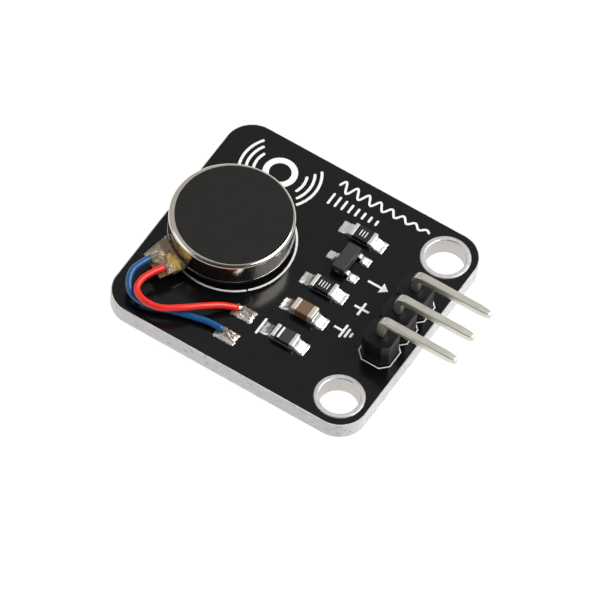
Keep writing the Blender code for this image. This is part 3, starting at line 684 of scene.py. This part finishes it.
def build_silk():
    """White ink: motor circle, header outline, and plain symbols in place of words."""
    low = FACE + MASK
    high = low + SILK
    bm = bmesh.new()

    def stroke(points, width=SILK_LINE):
        add_plate(bm, ribbon(points, width), low, high, stroke=True)

    # circle round the motor, broken under the tail and where the case's crimp comes down
    x, y = MOTOR_X + 0.15, MOTOR_Y + 0.07
    radius = MOTOR_RADIUS + 0.04
    for start, end in ((-122, -46), (-43, 200)):
        stroke(arc(x, y, radius, math.radians(start), math.radians(end), 120), 0.17)

    # outline of the header's three cells
    margin, line = 0.1, 0.1
    add_plate(bm, housing_outline(margin + line), low, high, [housing_outline(margin)])

    # bar that marks the diode's polarity
    diode_low, diode_high = chip_boxes("diode")[0]
    margin = 0.12
    bar_x = PADS["diode_1"][0][0] - margin
    stroke([(bar_x, diode_low.y - margin), (bar_x, diode_high.y + margin)])

    # sign of a shaking disc: a ring with arcs on both sides, beyond the motor
    sign_x, sign_y = MOTOR_X - 0.1, MOTOR_Y + 7.45
    ring, hole = 1.42, 0.9
    add_plate(bm, circle(sign_x, sign_y, ring, 48), low, high, [circle(sign_x, sign_y, hole, 40)])
    for radius, half_angle in ((2.15, 21), (2.75, 29), (3.3, 34)):
        half = math.radians(half_angle)
        for centre in (0, math.pi):
            stroke(arc(sign_x, sign_y, radius, centre - half, centre + half, 16), 0.23)

    # fading wave and a row of ticks that shrink, where the board's title stands
    wave_start, wave_length = BOARD_LOW.x + 9.95, 8.2
    wave_y = BOARD_HIGH.y - 1.45
    swing, fading, turns = 0.52, 0.72, 7.5
    wave = []
    steps = 120
    for step in range(steps + 1):
        t = step / steps
        height = swing * (1 - fading * t) * math.sin(t * turns * math.tau)
        wave.append((wave_start + wave_length * t, wave_y + height))
    stroke(wave, 0.19)
    tick_y = wave_y - 1.5
    for index in range(8):
        x = wave_start + 0.1 + index * 0.6
        half = 0.5 - index * 0.045
        stroke([(x, tick_y - half), (x, tick_y + half)])

    # signs beside the pins: arrow in, plus, ground
    sign = HOUSING_LOW.x - 1.95
    below, level, above = PIN_ROWS
    half = SILK_LINE / 2
    head = 0.2
    arrow = [(-1.0, -half), (head, -half), (head, -0.5), (0.85, 0.0)]
    arrow += [(head, 0.5), (head, half), (-1.0, half)]
    arm = 0.65
    plus = []
    for quarter in range(4):
        turn = Matrix.Rotation(quarter * math.pi / 2, 2)
        plus += [tuple(turn @ Vector(corner)) for corner in ((half, -half), (arm, -half), (arm, half))]
    stem = [(-0.95, -half), (-0.2, -half), (-0.2, half), (-0.95, half)]
    for outline, y in ((arrow, above), (plus, level), (stem, below)):
        add_plate(bm, [(sign + dx, y + dy) for dx, dy in outline], low, high)
    for index, reach in enumerate((0.6, 0.38, 0.16)):
        x = sign - 0.1 + index * 0.36
        stroke([(x, below - reach), (x, below + reach)])
    piece("silk_print", bm, "silk_print")


# Header


def housing_outline(grow=0.0):
    """The three octagonal cells side by side, grown outwards by a margin."""
    half_x = (HOUSING_HIGH.x - HOUSING_LOW.x) / 2
    half_y = PIN_PITCH / 2
    chamfer = 0.55
    slope = grow * math.tan(math.pi / 8)
    notch = grow / math.cos(math.pi / 4)
    right = []
    for y in PIN_ROWS:
        if y == PIN_ROWS[0]:
            right.append((half_x - chamfer + slope, y - half_y - grow))
        else:
            right.append((half_x - chamfer + notch, y - half_y))
        flat = half_y - chamfer + slope
        right += [(half_x + grow, y - flat), (half_x + grow, y + flat)]
        if y == PIN_ROWS[-1]:
            right.append((half_x - chamfer + slope, y + half_y + grow))
    left = [(-x, y) for x, y in reversed(right)]
    return [(HEADER_X + x, y) for x, y in right + left]


def build_housing():
    """The moulded strip, with a square mouth round each pin and small moulded roundings."""
    mouth = PIN_SIDE / 2 + 0.04
    holes = [rectangle((HEADER_X - mouth, y - mouth), (HEADER_X + mouth, y + mouth)) for y in PIN_ROWS]
    bm = plate(housing_outline(), FACE + MASK, HOUSING_HIGH.z, holes)
    nodes = ("header_housing",)
    piece("header_moulding", bm, "header_moulding", nodes, bevel=0.06, sharp=30)


def build_pins():
    """Square pins with softened edges, a round bend and a rounded, tapered tip."""
    half = PIN_SIDE / 2
    section = rounded_rectangle((-half, -half), (half, half), 0.07, steps=3)
    low, high = PIN_BOXES[0]
    level = high.z - half
    tip = high.x
    bend_radius = 0.55
    bend = arc(HEADER_X + bend_radius, level - bend_radius, bend_radius, math.pi, math.pi / 2, 12)
    taper = 1.05
    tail_taper = 0.35
    points = [(HEADER_X, low.z + tail_taper * t) for t in (0, 0.12, 0.4, 1.0)]
    scales = [(size, size) for size in (0.35, 0.62, 0.84, 1.0)]
    points += bend
    scales += [(1.0, 1.0)] * len(bend)
    steps = 24
    for step in range(steps + 1):
        t = math.sin(step / steps * math.pi / 2)
        points.append((tip - taper * (1 - t), level))
        slim = 1 - 0.2 * t
        scales.append((slim * max(0.02, 1 - t**6) ** 0.5, slim * max(0.04, 1 - t**20) ** 0.5))
    for number, y in enumerate(PIN_ROWS, start=1):
        path = [Vector((px, y, pz)) for px, pz in points]
        bm = sweep(path, section, scales, side=Vector((0, 1, 0)))
        nodes = (f"header_pin_{number}",)
        piece(f"header_pin_fine_{number}", bm, "pin_metal", nodes, sharp=60)
        foot = BOARD_LOW.z - PIN_RING
        core = 0.1
        neck = PIN_SIDE * 0.72
        wide = PIN_PAD_RADIUS - 0.05
        drop = 0.9
        cone = [(core, foot), (wide, foot)]
        for step in range(1, 9):
            t = step / 8
            cone.append((neck + (wide - neck) * (1 - t) ** 2.4, foot - drop * t))
        cone.append((core, foot - drop))
        nodes = (f"header_solder_{number}",)
        piece(f"pin_fillet_{number}", lathe(cone, 32, HEADER_X, y), "solder", nodes, sharp=60)


# Motor


def build_case():
    """The drawn steel cup: a shoulder of two radii, a thin bright bead at its foot, and two notches."""
    shoulder = 0.33
    turn = 0.15
    blend = math.radians(35)
    dip = 0.003
    bead = 0.03
    foot = CASE_LOW.z
    outer = MOTOR_RADIUS
    side = outer - 0.012
    outside = arc(outer - bead, foot + bead, bead, -math.pi / 2, math.radians(70), 9)
    crown = (shoulder - turn * (1 - math.cos(blend))) / math.cos(blend)
    crown_x = side - shoulder
    crown_z = MOTOR_TOP - crown
    turn_z = crown_z + (crown - turn) * math.sin(blend)
    outside += [(side, foot + 0.09), (side, turn_z - 0.02)]
    outside += arc(side - turn, turn_z, turn, 0, blend, 6)[:-1]
    outside += arc(crown_x, crown_z, crown, blend, math.radians(86), 14)
    outside += [(crown_x - 0.12, MOTOR_TOP - 0.002), (crown_x - 0.4, MOTOR_TOP - dip)]
    inside = arc(crown_x, MOTOR_TOP - shoulder, shoulder - CASE_WALL, math.pi / 2, 0, 5)
    inside = [(0, MOTOR_TOP - dip), (0, MOTOR_TOP - CASE_WALL), *inside, (outer - CASE_WALL, foot)]
    profile = outside + inside
    bm = lathe(profile, 160, MOTOR_X, MOTOR_Y)
    case = piece("case_fine", bm, "case_steel", ("motor_case",), sharp=50)
    for name, angle, half, height in (("tail", TAIL_ANGLE, 1.35, 0.24), ("crimp", CRIMP_ANGLE, 0.32, 0.17)):
        bm = block((outer - 0.5, -half, foot - 0.3), (outer + 0.3, half, foot + height))
        bmesh.ops.rotate(bm, cent=(0, 0, 0), matrix=Matrix.Rotation(angle, 3, "Z"), verts=bm.verts[:])
        bmesh.ops.translate(bm, vec=(MOTOR_X, MOTOR_Y, 0), verts=bm.verts[:])
        cut(case, bm, name)


def cut(target, bm, name):
    """Cut a mesh out of a piece, and leave no cutter behind."""
    tool = as_object(f"cutter_{name}", bm)
    change = target.modifiers.new(name, "BOOLEAN")
    change.operation = "DIFFERENCE"
    change.solver = "EXACT"
    change.object = tool
    bpy.context.view_layer.update()
    result = bpy.data.meshes.new_from_object(target.evaluated_get(bpy.context.evaluated_depsgraph_get()))
    target.modifiers.clear()
    target.data = result
    bpy.data.objects.remove(tool)


def build_film():
    """The thin black film on the motor's top, out to the shoulder: its edge is cut a little unevenly."""
    x, y = centre_mm("motor_top_film")
    overlap = 0.12
    radius = (FILM_HIGH.x - FILM_LOW.x) / 2 + overlap
    outline = []
    sides = 180
    for step in range(sides):
        angle = math.tau * step / sides
        nick = 0.018 * ripple(math.cos(angle), math.sin(angle), 0.06)
        nick += 0.012 * ripple(math.cos(angle), math.sin(angle), 0.25, 7.0)
        reach = radius + nick
        outline.append((x + reach * math.cos(angle), y + reach * math.sin(angle)))
    bm = plate(outline, MOTOR_TOP + 0.002, FILM_HIGH.z)
    nodes = ("motor_top_film",)
    piece("top_film_fine", bm, "case_film", nodes, bevel=0.012, sharp=50, segments=2)


def build_foam():
    """The foam pad: squeezed edge with small waves."""
    low, high = box_mm("motor_foam_pad")
    radius = (high.x - low.x) / 2
    squeeze, bulge, waviness = 0.09, 0.06, 0.03
    rings = []
    sides, rows = 120, 8
    for row in range(rows + 1):
        t = row / rows
        z = FACE + MASK + (high.z - FACE - MASK) * t
        ring = []
        for step in range(sides):
            angle = math.tau * step / sides
            out = Vector((math.cos(angle), math.sin(angle), 0))
            wave = noise.noise(out * 9 + Vector((0, 0, z * 3)))
            reach = radius - squeeze + bulge * math.sin(math.pi * t) + waviness * wave
            ring.append(Vector((MOTOR_X, MOTOR_Y, z)) + out * reach)
        rings.append(ring)
    piece("foam_pad_fine", loft(rings), "foam_tape", ("motor_foam_pad",))


def tail_place(reach, offset, height):
    """A point on the motor's tail: reach from the motor's axis, offset to the left, and height."""
    c, s = math.cos(TAIL_ANGLE), math.sin(TAIL_ANGLE)
    return Vector((MOTOR_X + reach * c + offset * s, MOTOR_Y + reach * s - offset * c, height))


def build_tail():
    """The tail: brown film under the joints, clear tape draped over them, and two lumps of glue."""
    film = ((MOTOR_RADIUS - 0.25, -1.25), (7.3, -1.25), (7.15, 1.2), (MOTOR_RADIUS - 0.05, 1.7))
    outline = [tuple(tail_place(reach, offset, 0).xy) for reach, offset in film]
    bm = plate(outline, FLEX_HIGH.z + 0.003, TAIL_FACE)
    piece("tail_film", bm, "tail_film", bevel=0.01)
    build_tape()
    build_glue("tail_glue", "tail_glue", (5.62, -0.5), (0.62, 0.78), 0.36)
    build_glue("milky_glue", "tail_glue_blue", (6.5, 0.7), (0.44, 0.5), 0.34)


def build_tape():
    """Clear tape over the tail: it hugs the case, flares out to the left and is cut askew at its far end."""
    steps = 48
    right, left_near, left_far = -1.3, 1.93, 1.28
    wall = MOTOR_RADIUS + 0.03
    joints, joint_reach = (-0.65, 0.65), 6.05
    wire_offset, wire_reach = 0.65, 6.1
    flat_rise, joint_rise, wire_rise, wall_rise = 0.08, 0.34, 0.68, 0.3

    def tape_place(column, row, shift):
        t = column / steps
        across = row / steps
        left = left_near + (left_far - left_near) * t
        offset = right + (left - right) * across
        near = math.sqrt(wall**2 - min(offset**2, 4.0))
        far = 6.55 + 0.68 * step_up(offset - 0.1, 7)
        reach = near + (far - near) * t
        beside = max(bell(offset - joint, 0.42) for joint in joints)
        over_joints = joint_rise * beside * bell(reach - joint_reach, 0.5)
        over_wire = wire_rise * bell(offset - wire_offset, 0.36) * step_up(reach - wire_reach, 9)
        height = max(flat_rise, over_joints, over_wire) + wall_rise * bell(reach - near, 0.3)
        height += 0.1 * abs(ripple(reach, offset, 0.4)) + 0.02 * ripple(reach, offset, 0.16, 3.0)
        rim = min(1.0, 8 * min(t, across, 1 - across) + 0.35, 10 * (1 - t) + 0.6)
        return tail_place(reach, offset, TAIL_FACE + 0.01 + max(0.0, height) * rim + shift)

    bm = bmesh.new()
    rims = []
    for shift in (0.0, 0.03):
        grid = []
        for column in range(steps + 1):
            grid.append([bm.verts.new(tape_place(column, row, shift)) for row in range(steps + 1)])
        for near_line, far_line in zip(grid, grid[1:]):
            for row in range(steps):
                bm.faces.new((near_line[row], far_line[row], far_line[row + 1], near_line[row + 1]))
        rim = [line[0] for line in grid] + grid[-1][1:]
        rim += [line[-1] for line in grid[-2::-1]] + grid[0][-2:0:-1]
        rims.append(rim)
    skin(bm, *rims)
    face_outwards(bm)
    piece("tail_tape_fine", bm, "clear_tape", ("tail_tape",), sharp=80)


def build_glue(look, name, place, half, rise):
    """A lump of glue on the tail. place and half are (reach, offset)."""
    nearest = MOTOR_RADIUS + 0.06
    outline = []
    for along, across in circle(0, 0, 1.0, 48):
        wobble = 1 + 0.4 * ripple(along, across, 0.55, place[1])
        reach, offset = place[0] + half[0] * along * wobble, place[1] + half[1] * across * wobble
        outline.append(tuple(tail_place(max(reach, nearest), offset, 0).xy))

    def height(x, y, t):
        crease = 1.1 - 0.5 * abs(ripple(x, y, 0.22, 1.0))
        return rise * (1 - (1 - t) ** 2) ** 0.5 * crease + 0.02

    bm = mound(outline, TAIL_FACE + 0.005, height)
    piece(name, bm, look, sharp=80)


# Wires


def wire_routes():
    """Centre lines of the insulation, from the tail to the board, as in the CAD model."""
    red = [
        (-8.72, -7.12, 1.6), (-9.1, -8.2, 1.55), (-8.93, -9.15, 1.45),
        (-7.95, -9.63, 1.38), (-6.6, -9.47, 1.3), (-5.3, -8.53, 1.2),
        (-4.0, -7.27, 0.98), (-2.95, -6.25, 0.68), (-1.82, -5.5, 0.36),
    ]
    blue = [
        (-9.97, -6.95, 1.55), (-10.18, -7.9, 1.45), (-9.8, -8.93, 1.18),
        (-9.0, -9.45, 0.88), (-7.6, -9.35, 0.62), (-5.9, -8.72, 0.5),
        (-4.2, -8.22, 0.42), (-3.0, -7.95, 0.4), (-1.75, -7.88, 0.36),
    ]
    lift = Vector((0, 0, FACE))
    height = FLEX_HIGH.z + 0.33
    routes = {}
    for colour, reach, offset, points in (("red", 6.55, -0.7, red), ("blue", 6.3, 0.65, blue)):
        start = tail_place(reach, offset, height)
        routes[colour] = [start, *[Vector(point) + lift for point in points]]
    return routes


def build_wire(colour, route):
    """One wire: insulation with soft cut ends, and seven tinned strands that fan out in the solder."""
    path = smooth_path(route, 10)
    face, shoulder, rounding = 0.55, 0.93, 0.02
    ends = {0: face, 1: shoulder, len(path) - 2: shoulder, len(path) - 1: face}
    scales = [ends.get(index, 1.0 + 0.02 * ripple(index * 0.1, 0, 1.0)) for index in range(len(path))]
    lead_in = path[0] + (path[0] - path[1]).normalized() * rounding
    lead_out = path[-1] + (path[-1] - path[-2]).normalized() * rounding
    path = [lead_in, *path, lead_out]
    scales = [(size, size) for size in (0.5, *scales, 0.5)]
    bm = sweep(path, circle(0, 0, WIRE_RADIUS, 24), scales)
    nodes = (f"{colour}_wire_insulation",)
    piece(f"{colour}_wire_fine", bm, f"{colour}_insulation", nodes, sharp=60)

    pad_x, pad_y = centre_mm(f"{colour}_pad_solder")
    bm = bmesh.new()
    along = (path[-1] - path[-3]).normalized()
    pitch = 0.105
    for index in range(7):
        turn = math.tau * index / 6
        spread = 0.0 if index == 6 else 1.0
        off = Vector((0, math.cos(turn), math.sin(turn))) * pitch * spread
        start = path[-1] - along * 0.3 + off
        middle = path[-1] + along * 0.35 + off * 1.1 + Vector((0, 0, -0.02))
        reach = 0.5 + 0.16 * math.sin(index * 2.4)
        end = Vector((pad_x + reach, pad_y + off.y * 2.9 + 0.06, FACE + 0.2 + max(0.0, off.z) * 0.9))
        strand = smooth_path([start, middle, (middle + end) / 2 + Vector((0, 0, 0.03)), end], 5)
        append(bm, sweep(strand, circle(0, 0, STRAND_RADIUS, 8)))
    piece(f"{colour}_strands", bm, "tinned_strands", (f"{colour}_wire_core",), sharp=60)
    x, y = centre_mm(f"{colour}_tail_solder")
    radius, rise = 0.36, 0.22

    def bead(px, py, t):
        return rise * (1 - (1 - t) ** 2) ** 0.6 + 0.02

    bm = mound(circle(x, y, radius, 24), TAIL_FACE, bead, rings=7)
    piece(f"{colour}_tail_joint", bm, "worn_solder", (f"{colour}_tail_solder",), sharp=80)

    # solder on the board pad: thin and uneven over the pad, heaped along the strands
    outline = rounded_rectangle(*grown(PADS[colour], -0.03), 0.12, steps=3, spacing=0.07)

    def height(px, py, t):
        ridge = bell(py - pad_y - 0.08, 0.24) * step_up(px - pad_x + 0.45, 8)
        return (0.06 + 0.05 * ripple(px, py, 0.16) + 0.15 * ridge) * min(1.0, 0.25 + t * 3)

    bm = mound(ragged(outline, 0.12), FACE + MASK, height)
    piece(f"{colour}_pad_joint", bm, "worn_solder", (f"{colour}_pad_solder",), sharp=80)


# Chips


def build_fillet(name, pad, edge_x, outward, half_width, rise):
    """Solder from a chip's end down to the rim of its pad. outward is +1 or -1 along X."""
    low, high = grown(pad, -0.02)
    outline = ragged(rounded_rectangle(low, high, 0.08, steps=2, spacing=0.07), 0.07)
    middle_y = (low[1] + high[1]) / 2
    thin = 0.05
    span = max(0.1, high[0] - edge_x) if outward > 0 else edge_x - low[0]

    def height(x, y, t):
        away = max(0.0, (x - edge_x) * outward) / span
        beside = max(0.0, abs(y - middle_y) - half_width * 0.75)
        ridge = thin + (rise - thin) * max(0.0, 1 - away) ** 2.2 * bell(beside, 0.25)
        return ridge * min(1.0, 0.3 + t * 4) + 0.01 * ripple(x, y, 0.2, 9.0)

    centre = (edge_x + outward * span * 0.35, middle_y)
    bm = mound(outline, FACE + MASK, height, centre=centre)
    piece(name, bm, "solder", sharp=80)


def build_two_ended_chips():
    """Each chip: two tinned ends, the solder at both of them, and the body between them."""
    seat = FACE + MASK + 0.012
    inset = 0.015
    for name in CHIPS:
        caps = chip_boxes(name)
        low = caps[0][0]
        high = caps[1][1]
        tin, rounding, climb = "chip_tin", 0.05, 0.75
        if name == "capacitor":
            tin, rounding, climb = "capacitor_tin", 0.12, 0.55
        for number, (cap_low, cap_high) in enumerate(caps, start=1):
            bm = block((cap_low.x, cap_low.y, seat), cap_high)
            nodes = (f"{name}_cap_{number}",)
            piece(f"{name}_terminal_{number}", bm, tin, nodes, bevel=rounding, segments=4)
            outward = SIDES[number]
            edge_x = cap_low.x if outward < 0 else cap_high.x
            rise = (cap_high.z - seat) * climb
            pad = PADS[f"{name}_{number}"]
            build_fillet(f"{name}_fillet_{number}", pad, edge_x, outward, (high.y - low.y) / 2, rise)
        start = Vector((low.x + 0.06, low.y + inset, seat + 0.03))
        end = Vector((high.x - 0.06, high.y - inset, high.z - inset))
        nodes = (f"{name}_body",)
        if name == "capacitor":
            look = "capacitor_ceramic"
            piece(look, block(start, end), look, nodes, bevel=0.07, segments=4)
            continue
        cap_width, overlap, proud = 0.33, 0.02, 0.008
        shelf = seat + (high.z - seat) * 0.3
        base = block(start, (end.x, end.y, shelf))
        piece(f"{name}_ceramic", base, "alumina", bevel=0.03)
        top_start = (low.x + cap_width - overlap, start.y - proud, shelf - overlap)
        top_end = (high.x - cap_width + overlap, end.y + proud, high.z - 0.004)
        look = "chip_epoxy" if name == "diode" else "resistor_glaze"
        piece(f"{name}_coat", block(top_start, top_end), look, nodes, bevel=0.035)
        build_chip_marks(name, low, high)


def build_chip_marks(name, low, high):
    """Plain bars in place of codes, and the diode's polarity band."""
    bm = bmesh.new()
    middle_x = (low.x + high.x) / 2
    middle_y = (low.y + high.y) / 2
    top = high.z - 0.004
    if name == "diode":
        x, half, inset = middle_x - 0.38, 0.085, 0.09
        append(bm, block((x - half, low.y + inset, top), (x + half, high.y - inset, top + SILK)))
    else:
        bars = 3 if name == "resistor_1" else 4
        for index in range(bars):
            x = middle_x + (index - (bars - 1) / 2) * 0.24
            add_plate(bm, ribbon([(x, middle_y - 0.26), (x, middle_y + 0.26)], 0.07), top, top + SILK)
    piece(f"{name}_marks", bm, "silk_print")


def build_transistor():
    """Moulded body with drafted sides, tie-bar stubs at its ends, and three gull-wing leads."""
    low, high = box_mm("transistor_body")
    parting = low.z + (high.z - low.z) * 0.52
    draft = 0.1
    rings = []
    for z, inset in ((low.z, draft * 0.8), (parting, 0.0), (parting + 0.01, 0.0), (high.z, draft)):
        corners = rectangle((low.x + inset, low.y + inset), (high.x - inset, high.y - inset))
        rings.append([(x, y, z) for x, y in corners])
    nodes = ("transistor_body",)
    piece("transistor_moulding", loft(rings), "chip_epoxy", nodes, bevel=0.06, sharp=20)
    middle_x = (low.x + high.x) / 2
    wide, tall = 0.16, 0.05
    bm = bmesh.new()
    for y, side in ((low.y, -1), (high.y, 1)):
        start, end = sorted((y - side * 0.1, y + side * 0.004))
        append(bm, block((middle_x - wide, start, parting - tall), (middle_x + wide, end, parting + tall)))
    piece("transistor_tie_bars", bm, "chip_tin")
    for number in (1, 2, 3):
        lead_low, lead_high = box_mm(f"transistor_lead_{number}")
        outward = SIDES[number]
        root, tip = (lead_high.x, lead_low.x) if outward < 0 else (lead_low.x, lead_high.x)
        half = (lead_high.y - lead_low.y) / 2
        y = (lead_low.y + lead_high.y) / 2
        thick = 0.12
        top = lead_high.z - thick / 2
        foot = FACE + MASK + 0.02 + thick / 2
        knee = root + outward * 0.16
        points = [(root - outward * 0.12, top), (root + outward * 0.04, top)]
        points += [(knee, top - 0.05), (knee + outward * 0.06, (top + foot) / 2)]
        points += [(knee + outward * 0.12, foot + 0.04), (knee + outward * 0.22, foot), (tip, foot)]
        path = smooth_path([(x, y, z) for x, z in points], 4)
        section = rounded_rectangle((-half, -thick / 2), (half, thick / 2), 0.03, steps=2)
        bm = sweep(path, section, side=Vector((0, 1, 0)))
        nodes = (f"transistor_lead_{number}",)
        piece(f"transistor_leg_{number}", bm, "chip_tin", nodes, sharp=50)
        pad = PADS[f"transistor_{number}"]
        build_fillet(f"transistor_fillet_{number}", pad, tip - outward * 0.15, outward, half, 0.2)


# What stays a CAD node: its names, by the material they wear
CAD_LOOKS = {
    "plain_steel": ("motor_base_plate", "motor_shaft"),
    "flex_circuit": ("motor_flex_circuit",),
    "ring_magnet": ("motor_ring_magnet",),
    "brass": ("motor_brush_1", "motor_brush_2", "rotor_bushing"),
    "natural_plastic": ("thrust_washer_lower", "thrust_washer_upper", "rotor_frame"),
    "rotor_laminate": ("rotor_board",),
    "coil_windings": ("rotor_coil_1", "rotor_coil_2"),
    "tungsten_weight": ("rotor_weight",),
}


def dress_cad_nodes():
    """Give each CAD node that keeps its shape its material."""
    for look, names in CAD_LOOKS.items():
        for name in names:
            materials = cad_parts[name].data.materials
            materials.clear()
            materials.append(LOOKS[look])


# Studio

# The sky's brightness against height (the sine of the elevation), and how it dims towards its dark side
SKY_BANDS = ((0.0, 0.68), (0.12, 0.62), (0.22, 0.46), (0.6, 0.56), (1.0, 0.6))
DARK_SIDE = (0.26, -0.62, 0.74)
DARK_BANDS = ((0.0, 1.0), (0.55, 1.0), (0.82, 0.12), (1.0, 0.08))


def greys(bands):
    """Ramp stops of greys from (position, brightness)."""
    return [(position, (brightness,) * 3) for position, brightness in bands]


def build_studio():
    """White floor and sky, soft lights, and the camera."""
    scene = bpy.context.scene
    scene.view_settings.view_transform = "Standard"
    world = bpy.data.worlds.new("studio")
    scene.world = world
    world.use_nodes = True
    tree = world.node_tree
    place = tree.nodes.new("ShaderNodeTexCoord").outputs["Generated"]
    split = add_node(tree, "SeparateXYZ", Vector=place)
    towards = tree.nodes.new("ShaderNodeVectorMath")
    towards.operation = "DOT_PRODUCT"
    towards.inputs[1].default_value = DARK_SIDE
    tree.links.new(place, towards.inputs[0])
    sky = add_ramp(tree, greys(SKY_BANDS), split.outputs["Z"])
    dimming = add_ramp(tree, greys(DARK_BANDS), towards.outputs["Value"])
    tree.links.new(multiplied(tree, sky, dimming, 1.0), tree.nodes["Background"].inputs["Color"])
    bm = bmesh.new()
    bmesh.ops.create_grid(bm, x_segments=1, y_segments=1, size=1 / MM)
    floor = as_object("floor", bm)
    floor.data.materials.append(LOOKS["studio_floor"])
    floor.location.z = cad_bounds[0].z

    add_softbox("key_light", 121, 55, (0.4, 0.24), 2.4)
    add_softbox("fill_light", 306, 34, (0.3, 0.26), 0.32)
    build_camera(scene)


def bearing(azimuth, elevation):
    """The unit vector towards a place, from its azimuth (0 is -Y, 90 is +X) and elevation."""
    a, e = math.radians(azimuth), math.radians(elevation)
    return Vector((math.sin(a) * math.cos(e), -math.cos(a) * math.cos(e), math.sin(e)))


def add_softbox(name, azimuth, elevation, size, power):
    """A rectangular soft light half a metre away, turned to the object."""
    data = bpy.data.lights.new(name, "AREA")
    data.shape = "RECTANGLE"
    data.size, data.size_y = size
    data.energy = power
    light = bpy.data.objects.new(name, data)
    back = bearing(azimuth, elevation)
    light.location = back * 0.5
    light.rotation_mode = "QUATERNION"
    light.rotation_quaternion = (-back).to_track_quat("-Z", "Y")
    bpy.context.scene.collection.objects.link(light)


def build_camera(scene):
    """The camera: its direction, roll and distance, aimed a little off the board's centre."""
    azimuth, elevation, roll = 27.54, 55.9, 5.59
    distance = 600.54
    shift_right, shift_down = 0.326, 2.11
    back = bearing(azimuth, elevation)
    rolled = Matrix.Rotation(math.radians(roll), 3, back)
    right = rolled @ bearing(azimuth + 90, 0)
    up = back.cross(right)
    data = bpy.data.cameras.new("camera")
    data.sensor_width = 36
    data.lens = 461.8
    camera = bpy.data.objects.new("camera", data)
    place = Vector((0, 0, FACE)) + back * distance + right * shift_right - up * shift_down
    turn = Matrix((right, up, back)).transposed()
    camera.matrix_world = Matrix.Translation(place * MM) @ turn.to_4x4()
    data.clip_start = 0.01
    data.clip_end = 10
    scene.collection.objects.link(camera)
    scene.camera = camera


build_board_core()
build_masks()
build_pads()
build_plated_holes()
build_silk()
build_housing()
build_pins()
build_case()
build_film()
build_foam()
build_tail()
for wire_colour, wire_route in wire_routes().items():
    build_wire(wire_colour, wire_route)
build_two_ended_chips()
build_transistor()
dress_cad_nodes()
build_studio()
